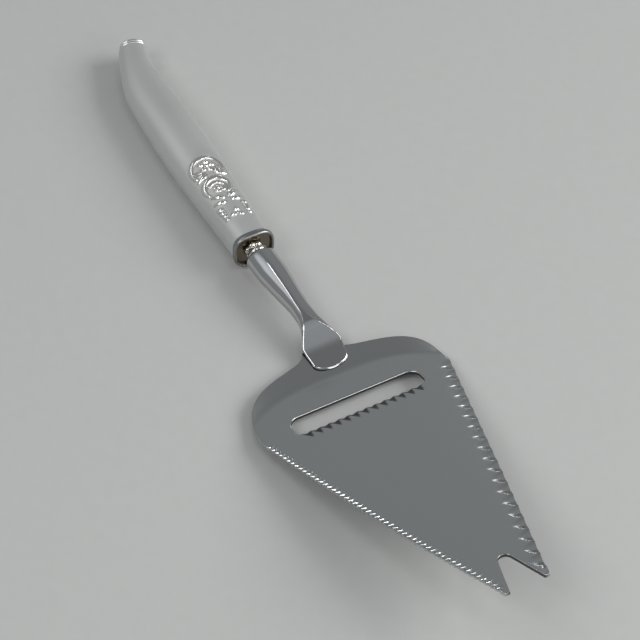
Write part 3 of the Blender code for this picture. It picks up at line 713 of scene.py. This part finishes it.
lobed, given = tree_of("lobed_ring", {
    "Count": "Int", "Radius": "Float", "Centre": "Vector", "Turn": "Float", "Lobe": "Vector",
    "Finish": "Material"})
circle = node(lobed, "GeometryNodeMeshCircle", {"Vertices": given["Count"], "Radius": given["Radius"]})
spin = node(lobed, "ShaderNodeCombineXYZ", {"Y": math.pi / 2.0, "X": given["Turn"]}).outputs[0]
upright = {"Geometry": circle.outputs[0], "Translation": given["Centre"], "Rotation": spin}
ring = node(lobed, "GeometryNodeTransform", upright)
ball = node(lobed, "GeometryNodeMeshUVSphere", {"Segments": 20, "Rings": 14, "Radius": 1.0}).outputs[0]
placed = {"Points": ring.outputs[0], "Instance": ball, "Scale": given["Lobe"]}
lobes = node(lobed, "GeometryNodeInstanceOnPoints", placed)
joined = node(lobed, "GeometryNodeJoinGeometry", {"Geometry": lobes.outputs[0]})
lobed.links.new(given["Geometry"], joined.inputs[0])
end_tree(lobed, joined.outputs[0], given["Finish"])

# Bright silver plate: a warm white mirror, broken by a fine skin of handling scratches about 0.2 mm apart.
bright_silver, tree, shader = finish_of("bright_silver_plate")
shader.inputs["Base Color"].default_value = linear("#D6D3CC")
shader.inputs["Metallic"].default_value = 1.0
where = node(tree, "ShaderNodeTexCoord").outputs["Object"]
rubbed = noise(tree, where, 0.2, 4.0)
tree.links.new(remap(tree, rubbed, 0.0, 1.0, 0.06, 0.16), shader.inputs["Roughness"])
bumps(tree, shader, rubbed, 0.05, 0.05)

collar = put("neck_collar", *loft([around(x, r, r) for x, r in COLLAR_PROFILE], wrap=True))
lobe_centre = ((crease_x + LOBES_AT) * MM, 0.0, AXIS_HEIGHT * MM)
run_tree(collar, lobed, Count=LOBES, Radius=2.05 * MM, Centre=lobe_centre, Turn=0.2,
         Lobe=(0.95 * MM, 1.3 * MM, 1.3 * MM), Finish=bright_silver)
settle(collar, 60.0)
dress(collar, "collar_silver", "collar")

# Ferrule: the silver cap that closes the handle's mouth. Its rim is rolled over a dished front, and a plug
# behind it is cemented into the shells.
MOUTH_HALF = 6.0
MOUTH_HIGH = 5.5
MOUTH_POWER = 2.8
MOUTH_POINTS = 144
ROLL_AT = -50.65
ROLL_OFF = 0.15
ROLL_LONG = 0.8
ROLL_HIGH = 0.5
DISH_FLOOR_AT = -50.9
CAP_BACK_AT = -52.12
PLUG_END_AT = -54.9
BORE = 2.2


def mouth_ring(x, off):
    """A ring that follows the handle's mouth at an offset."""
    return around(x, MOUTH_HALF + off, MOUTH_HIGH + off, MOUTH_POWER, MOUTH_POINTS)


rings = [around(DISH_FLOOR_AT, BORE, BORE, 2.0, MOUTH_POINTS)]
rings += [mouth_ring(DISH_FLOOR_AT, off) for off in (-2.4, -1.5, -0.7, -0.45)]
dished = (len(rings) + 5) * MOUTH_POINTS
for i in range(27):
    turn = math.radians(8.0 + 9.0 * i)
    rings.append(mouth_ring(ROLL_AT + ROLL_LONG * math.sin(turn), ROLL_OFF - ROLL_HIGH * math.cos(turn)))
rings += [mouth_ring(x, off) for x, off in ((-51.45, 0.12), (-51.6, 0.02), (CAP_BACK_AT, 0.0))]
rings += [mouth_ring(x, -0.9) for x in (CAP_BACK_AT, PLUG_END_AT)]
rings.append(around(PLUG_END_AT, BORE, BORE, 2.0, MOUTH_POINTS))
ferrule = put("ferrule_cap", *loft(rings, wrap=True))
# The dish is marked for its painted shade.
mark(ferrule, "tarnish", [1.0] * dished + [0.0] * (MOUTH_POINTS * len(rings) - dished))

# Silver plate: a rim worn to a soft grey shine, and a dish painted warmer and darker: painted shade in the
# hollow. The dish is a little glossier and catches a little more light.
cap_silver, tree, shader = finish_of("silver_plate_with_tarnish")
shader.inputs["Metallic"].default_value = 1.0
where = node(tree, "ShaderNodeTexCoord").outputs["Object"]
kept = node(tree, "ShaderNodeAttribute", attribute_name="tarnish").outputs["Fac"]
dish_shade = reckon(tree, "MULTIPLY", kept, noise(tree, where, 1.5, 4.0))
dish_shade_amount = remap(tree, dish_shade, 0.0, 0.3, 0.0, 1.0)
tree.links.new(blend(tree, dish_shade_amount, "#9A9C9D", "#847B6E"), shader.inputs["Base Color"])
tree.links.new(remap(tree, dish_shade_amount, 0.0, 1.0, 0.34, 0.24), shader.inputs["Roughness"])
ferrule.data.materials.append(cap_silver)
settle(ferrule, 60.0)
dress(ferrule, "ferrule_silver", "ferrule")

# Handle: two silver shells struck in one die, soldered along the sides and filled with cement. The back end
# hooks to the left. Scroll work takes up the front third, and the butt ends in two reeds.
SHELL = 0.6
SEAM_HEIGHT = 6.2
SEAM_GAP = 0.04
MOUTH_AT = -52.2
HOOK_AT = 74.0
HOOK_RADIUS = 70.0
BUTT_AT = 100.0
BUTT_SLANT = math.radians(-7.0)
BUTT_ROUND = 0.6
HANDLE_YAW = math.radians(1.15)
HANDLE_HALVES = ((0.0, MOUTH_HALF), (48.0, 7.9), (74.0, 7.3), (88.0, 5.45), (BUTT_AT, 4.2))
HANDLE_THICK = ((0.0, 11.0), (48.0, 12.4), (BUTT_AT, 7.2))
HANDLE_HEIGHTS = ((0.0, AXIS_HEIGHT), (48.0, 6.2), (BUTT_AT, 6.4))
HANDLE_POWERS = ((0.0, MOUTH_POWER), (28.8, 2.3))
PANEL_HALF = 5.0
ARCH_AT = 30.0
RELIEF_SHARES = {1: 0.7, -1: 0.24}
COLUMNS = 100
BUTT_REEDS = (97.95, 99.0)
REED_HALF = 0.38
REED_HIGH = 0.2


def handle_row(run, inset, side):
    """Points across one shell from seam to seam, evenly spaced, at a run back from the mouth."""
    bent = max(0.0, run - HOOK_AT) / HOOK_RADIUS
    t = max(0.0, min(1.0, (run - HOOK_AT) / (BUTT_AT - HOOK_AT)))
    lean = BUTT_SLANT * t * t * (3.0 - 2.0 * t)
    mid_x = MOUTH_AT - min(run, HOOK_AT) - HOOK_RADIUS * math.sin(bent)
    mid_y = HOOK_RADIUS * (1.0 - math.cos(bent)) + run * math.tan(HANDLE_YAW)
    half = smooth(HANDLE_HALVES, run) / math.cos(lean) - inset
    reach = smooth(HANDLE_THICK, run) / 2.0 - inset
    middle = smooth(HANDLE_HEIGHTS, run)
    power = smooth(HANDLE_POWERS, run)
    level = side * (SEAM_HEIGHT + side * SEAM_GAP - middle) / reach
    start = math.asin(math.copysign(abs(level) ** (power / 2.0), level))
    fine = []
    for i in range(301):
        turn = start + (math.pi - 2.0 * start) * i / 300.0
        c, s = math.cos(turn), math.sin(turn)
        fine.append((half * math.copysign(abs(c) ** (2.0 / power), c),
                     side * reach * math.copysign(abs(s) ** (2.0 / power), s)))
    far = [0.0]
    for p, q in zip(fine, fine[1:]):
        far.append(far[-1] + math.dist(p, q))
    row = []
    k = 0
    for i in range(COLUMNS + 1):
        goal = far[-1] * i / COLUMNS
        while k < 299 and far[k + 1] < goal:
            k += 1
        mix = (goal - far[k]) / (far[k + 1] - far[k])
        out = fine[k][0] + (fine[k + 1][0] - fine[k][0]) * mix
        lift = fine[k][1] + (fine[k + 1][1] - fine[k][1]) * mix
        row.append(((crease_x + mid_x + out * math.sin(bent + lean)) * MM,
                    (mid_y + out * math.cos(bent + lean)) * MM, (middle + lift) * MM))
    return row


# Rows back from the mouth, close together where the panel and the reeds are struck.
runs = [0.4 * i for i in range(8)] + [3.2 + 0.2 * i for i in range(170)]
runs += [37.2 + 1.0 * i for i in range(60)] + [97.3 + 0.08 * i for i in range(27)]
insets = [0.0] * len(runs)
for i in range(9):
    turn = math.radians(11.25 * i)
    runs.append(BUTT_AT - BUTT_ROUND * (1.0 - math.sin(turn)))
    insets.append(BUTT_ROUND * (1.0 - math.cos(turn)))
runs += [BUTT_AT] * 4
insets += [1.2, 1.9, 2.6, 3.2]

# The die's drawing: each stroke is a line of (run, across, half-width) points. A bead is one point alone.
strokes = []


def scroll(run, across, radius, end_radius, turn, end_turn, girth, end_girth):
    """A part of a spiral; turns are in degrees from straight back towards the left."""
    stroke = []
    for i in range(61):
        t = i / 60.0
        reach = radius + (end_radius - radius) * t
        angle = math.radians(turn + (end_turn - turn) * t)
        full = girth + (end_girth - girth) * t
        stroke.append((run + reach * math.cos(angle), across + reach * math.sin(angle), full))
    strokes.append(stroke)


def leaf(run, across, turn, length, girth, side=1):
    """A leaf or petal, fullest past its middle and pointed at its root."""
    angle = math.radians(turn)
    stroke = []
    for i in range(17):
        t = i / 16.0
        full = girth * math.sin(math.pi * (0.12 + 0.75 * t ** 0.8))
        reach = length * t
        stroke.append((run + reach * math.cos(angle), side * (across + reach * math.sin(angle)), full))
    strokes.append(stroke)


def flower(run, across, heart, petals, reach, girth):
    """A bead with a ring of petals."""
    strokes.append([(run, across, heart)])
    for i in range(petals):
        angle = math.radians(360.0 * i / petals + 15.0)
        root, root_across = run + heart * math.cos(angle), across + heart * math.sin(angle)
        leaf(root, root_across, math.degrees(angle), reach, girth)


scroll(ARCH_AT, 0.0, PANEL_HALF, PANEL_HALF, -115.0, 0.0, 0.4, 0.85)
scroll(ARCH_AT, 0.0, PANEL_HALF, PANEL_HALF, 0.0, 115.0, 0.85, 0.4)
flower(31.2, 0.1, 1.1, 5, 1.6, 0.9)
scroll(21.6, -0.4, 4.3, 3.9, -120.0, 0.0, 0.45, 1.1)
scroll(21.6, -0.4, 3.9, 3.4, 0.0, 150.0, 1.1, 0.5)
scroll(21.2, -0.5, 2.6, 1.5, -60.0, 230.0, 0.7, 0.5)
flower(20.9, -0.6, 0.7, 5, 0.9, 0.5)
for side in (-1, 1):
    for turn in (48.0, 84.0, 118.0):
        leaf(27.8, 1.5, turn, 3.4, 1.0, side)
    for i in range(2):
        leaf(16.4 - 1.7 * i, 0.7 + 0.4 * i, 62.0 + 22.0 * i, 3.6 - 0.5 * i, 1.0, side)
    for i in range(4):
        strokes.append([(12.4 - 1.5 * i, side * (3.9 - 0.1 * i), 0.95 - 0.08 * i)])
flower(9.0, 0.0, 0.6, 3, 1.5, 0.85)
drawing = bpy.data.curves.new("die_drawing", "CURVE")
drawing.dimensions = "3D"
for stroke in strokes:
    line = drawing.splines.new("POLY")
    line.points.add(len(stroke) - 1)
    for point, (run, across, girth) in zip(line.points, stroke):
        point.co = ((crease_x + MOUTH_AT - run) * MM, (across + run * math.tan(HANDLE_YAW)) * MM, 0.0, 1.0)
        point.radius = girth * MM
die = bpy.data.objects.new("die_drawing", drawing)
bpy.context.scene.collection.objects.link(die)

# The tree that strikes the die: each point of a shell finds the nearest point of the drawing, looking
# square to the table, and rises to a half-round over that stroke's width. How far up the round it stands,
# with the butt's reeds, is kept to paint them lighter, partly as a painted highlight, and the foot of a
# stroke is kept for tarnish.
strike, given = tree_of("struck_relief", {"Drawing": "Object", "Share": "Float", "Finish": "Material"})
art = node(strike, "GeometryNodeObjectInfo", {"Object": given["Drawing"]}).outputs["Geometry"]
dots = node(strike, "GeometryNodeCurveToPoints", {"Curve": art}, mode="EVALUATED").outputs[0]
here = node(strike, "GeometryNodeInputPosition").outputs[0]
flat = node(strike, "ShaderNodeVectorMath", {0: here, 1: (1.0, 1.0, 0.0)}, operation="MULTIPLY").outputs[0]
closest = node(strike, "GeometryNodeSampleNearest", {"Geometry": dots, "Sample Position": flat}).outputs[0]
dot_at = node(strike, "GeometryNodeInputPosition").outputs[0]
dot_girth = node(strike, "GeometryNodeInputRadius").outputs[0]
spot = node(strike, "GeometryNodeSampleIndex", {"Geometry": dots, "Index": closest, "Value": dot_at},
            data_type="FLOAT_VECTOR").outputs[0]
girth = node(strike, "GeometryNodeSampleIndex", {"Geometry": dots, "Index": closest, "Value": dot_girth},
             data_type="FLOAT").outputs[0]
away = node(strike, "ShaderNodeVectorMath", {0: flat, 1: spot}, operation="DISTANCE").outputs["Value"]
ratio = reckon(strike, "DIVIDE", away, girth)
square = reckon(strike, "MULTIPLY", ratio, ratio)
left = reckon(strike, "SUBTRACT", 1.0, square, use_clamp=True)
round_top = reckon(strike, "SQRT", left)
swell = reckon(strike, "MULTIPLY", round_top, girth)
height = reckon(strike, "MULTIPLY", swell, given["Share"])
reed = number_on(strike, "reed")
rise = reckon(strike, "ADD", height, reed)
normal = node(strike, "GeometryNodeInputNormal").outputs[0]
shift = scaled(strike, normal, rise)
highlight_share = reckon(strike, "MULTIPLY_ADD", reed, 1.0 / (REED_HIGH * MM), round_top)
kept = write_on(strike, given["Geometry"], "polish", highlight_share)
edge = reckon(strike, "SUBTRACT", away, girth)
foot = remap(strike, edge, -0.1 * MM, 0.3 * MM, 1.0, 0.0)
dark = reckon(strike, "SUBTRACT", foot, round_top, use_clamp=True)
darkened = write_on(strike, kept, "tarnish", dark)
moved = node(strike, "GeometryNodeSetPosition", {"Geometry": darkened, "Offset": shift}).outputs[0]
end_tree(strike, moved, given["Finish"])

# Struck silver plate: a satin grey skin from blasting grain about 0.12 mm across, burnished glossy on the
# raised strokes and the butt's reeds, which are also painted lighter as a painted highlight, and darker at
# the strokes' feet, where tarnish stays.
satin_silver, tree, shader = finish_of("struck_satin_silver_plate")
shader.inputs["Metallic"].default_value = 1.0
where = node(tree, "ShaderNodeTexCoord").outputs["Object"]
worn = noise(tree, where, 9.0, 3.0)
struck = node(tree, "ShaderNodeAttribute", attribute_name="polish").outputs["Fac"]
polish = reckon(tree, "MULTIPLY", struck, 1.5, use_clamp=True)
ground = node(tree, "ShaderNodeAttribute", attribute_name="tarnish").outputs["Fac"]
skin = blend(tree, worn, "#DADBDA", "#E0E1E0")
tint = blend(tree, ground, skin, "#9C9A94")
# Painted highlight: the raised tops and the reeds are painted near white.
tree.links.new(blend(tree, polish, tint, "#F3F2EF"), shader.inputs["Base Color"])
satin = remap(tree, worn, 0.0, 1.0, 0.54, 0.62)
gloss = node(tree, "ShaderNodeMix", {"Factor": polish, "A": satin, "B": 0.16}, data_type="FLOAT")
tree.links.new(gloss.outputs[0], shader.inputs["Roughness"])
bumps(tree, shader, noise(tree, where, 0.12, 3.0), 0.12, 0.02)

wide = COLUMNS + 1
shells = (("upper_shell", 1, "handle_upper_shell"), ("lower_shell", -1, "handle_lower_shell"))
for name, side, solid in shells:
    verts = []
    reeds = []
    for run, inset in zip(runs, insets):
        verts += handle_row(run, inset, side)
        lift = sum(max(0.0, 1.0 - ((run - at) / REED_HALF) ** 2) ** 0.5 for at in BUTT_REEDS)
        reeds += [REED_HIGH * MM * lift if inset == 0.0 else 0.0] * wide
    faces = []
    for i in range(len(runs) - 1):
        for k in range(COLUMNS):
            quad = (i * wide + k, (i + 1) * wide + k, (i + 1) * wide + k + 1, i * wide + k + 1)
            faces.append(quad if side > 0 else quad[::-1])
    end = list(range((len(runs) - 1) * wide, len(runs) * wide))
    faces.append(end[::-side])
    shell = put(name, verts, faces)
    mark(shell, "reed", reeds)
    run_tree(shell, strike, Drawing=die, Share=RELIEF_SHARES[side], Finish=satin_silver)
    wall = shell.modifiers.new("wall", "SOLIDIFY")
    wall.thickness = SHELL * MM
    wall.offset = -1.0
    settle(shell, 60.0)
    dress(shell, "handle_silver", solid)
bpy.data.objects.remove(die)

# Cement: the pitch and plaster filling that holds the shells on the tang. It shows only if a shell is taken
# off, as a matt grey-brown mass with coarse sand in it.
filling, tree, shader = finish_of("pitch_and_plaster_cement")
where = node(tree, "ShaderNodeTexCoord").outputs["Object"]
sand = noise(tree, where, 0.6, 5.0)
tree.links.new(blend(tree, sand, "#6B6258", "#9A9186"), shader.inputs["Base Color"])
shader.inputs["Roughness"].default_value = 0.9
bumps(tree, shader, sand, 0.5, 0.2)
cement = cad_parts["handle_cement"]
cement.data.materials.clear()
cement.data.materials.append(filling)

# Studio: a pale matt table of paper, a dim grey room with two soft glows, and six soft lamps. Their places
# follow the highlights on the real slicer.
TABLE_HALF = 1.5
LAMP_DISTANCE = 1.3
AIM = Vector((0.02755, -0.0045, 0.0267))
corners = [(TABLE_HALF * x, TABLE_HALF * y, 0.0) for x, y in ((-1, -1), (1, -1), (1, 1), (-1, 1))]
table = put("table_top", corners, [(0, 1, 2, 3)])
paper, tree, shader = finish_of("matt_table_paper")
shader.inputs["Roughness"].default_value = 0.85
where = node(tree, "ShaderNodeTexCoord").outputs["Object"]
fibre = noise(tree, where, 4.0, 4.0)
tree.links.new(blend(tree, fibre, "#BBBCBA", "#C0C1BF"), shader.inputs["Base Color"])
table.data.materials.append(paper)

world = bpy.data.worlds.new("grey_room")
bpy.context.scene.world = world
world.use_nodes = True
tree = world.node_tree
way = node(tree, "ShaderNodeTexCoord").outputs["Generated"]
up = node(tree, "ShaderNodeSeparateXYZ", {"Vector": way}).outputs["Z"]
ramp = node(tree, "ShaderNodeValToRGB", {"Fac": up})
ramp.color_ramp.elements[0].position = 0.0
ramp.color_ramp.elements[0].color = (0.27, 0.27, 0.265, 1.0)
ramp.color_ramp.elements[1].position = 1.0
ramp.color_ramp.elements[1].color = (0.2, 0.204, 0.21, 1.0)
for place, grey in ((0.35, 0.28), (0.55, 0.27), (0.78, 0.21)):
    ramp.color_ramp.elements.new(place).color = (grey, grey * 1.02, grey * 1.05, 1.0)
tree.links.new(ramp.outputs[0], tree.nodes["Background"].inputs["Color"])
strength = 1.0
for toward, spread, gain in (((-0.50, -0.42, 0.757), 0.94, 2.5), ((0.51, 0.319, 0.80), 0.88, 0.8)):
    facing = node(tree, "ShaderNodeVectorMath", {0: way, 1: toward}, operation="DOT_PRODUCT")
    spans = {"Value": facing.outputs["Value"], "From Min": spread, "To Max": gain}
    glow = node(tree, "ShaderNodeMapRange", spans, interpolation_type="SMOOTHSTEP").outputs[0]
    strength = reckon(tree, "ADD", strength, glow)
tree.links.new(strength, tree.nodes["Background"].inputs["Strength"])


def lamp(name, way, wide, high, radiance, roll=0.0):
    """A soft rectangular lamp in a direction from the slicer, as bright to look at as a radiance."""
    light = bpy.data.lights.new(name, "AREA")
    light.shape = "RECTANGLE"
    light.size, light.size_y = wide, high
    light.energy = radiance * math.pi * wide * high
    made = bpy.data.objects.new(name, light)
    made.location = AIM + Vector(way).normalized() * LAMP_DISTANCE
    made.rotation_mode = "QUATERNION"
    rolled = Quaternion((0.0, 0.0, 1.0), math.radians(roll))
    made.rotation_quaternion = Vector(way).to_track_quat("Z", "Y") @ rolled
    bpy.context.scene.collection.objects.link(made)


lamp("window_behind", (-0.473, -0.235, 0.85), 0.68, 0.08, 5.0, 19.0)
lamp("small_left", (-0.788, 0.532, 0.309), 0.1, 0.1, 4.0)
lamp("key_right", (0.398, 0.749, 0.53), 0.8, 0.7, 6.0)
lamp("overhead_front", (0.43, 0.0, 0.90), 0.26, 0.26, 5.0)
lamp("low_front", (0.85, 0.3, 0.42), 0.5, 0.45, 3.0)
lamp("fill_near", (0.1, -0.62, 0.78), 0.55, 0.5, 4.0)

camera = bpy.data.objects.new("camera", bpy.data.cameras.new("camera"))
camera.data.lens = 104.6
camera.data.sensor_width = 36.0
camera.location = (0.32155, -0.1619, 0.3971)
camera.rotation_mode = "QUATERNION"
camera.rotation_quaternion = (AIM - camera.location).to_track_quat("-Z", "Y")
bpy.context.scene.collection.objects.link(camera)
bpy.context.scene.camera = camera
bpy.context.scene.view_settings.view_transform = "Standard"
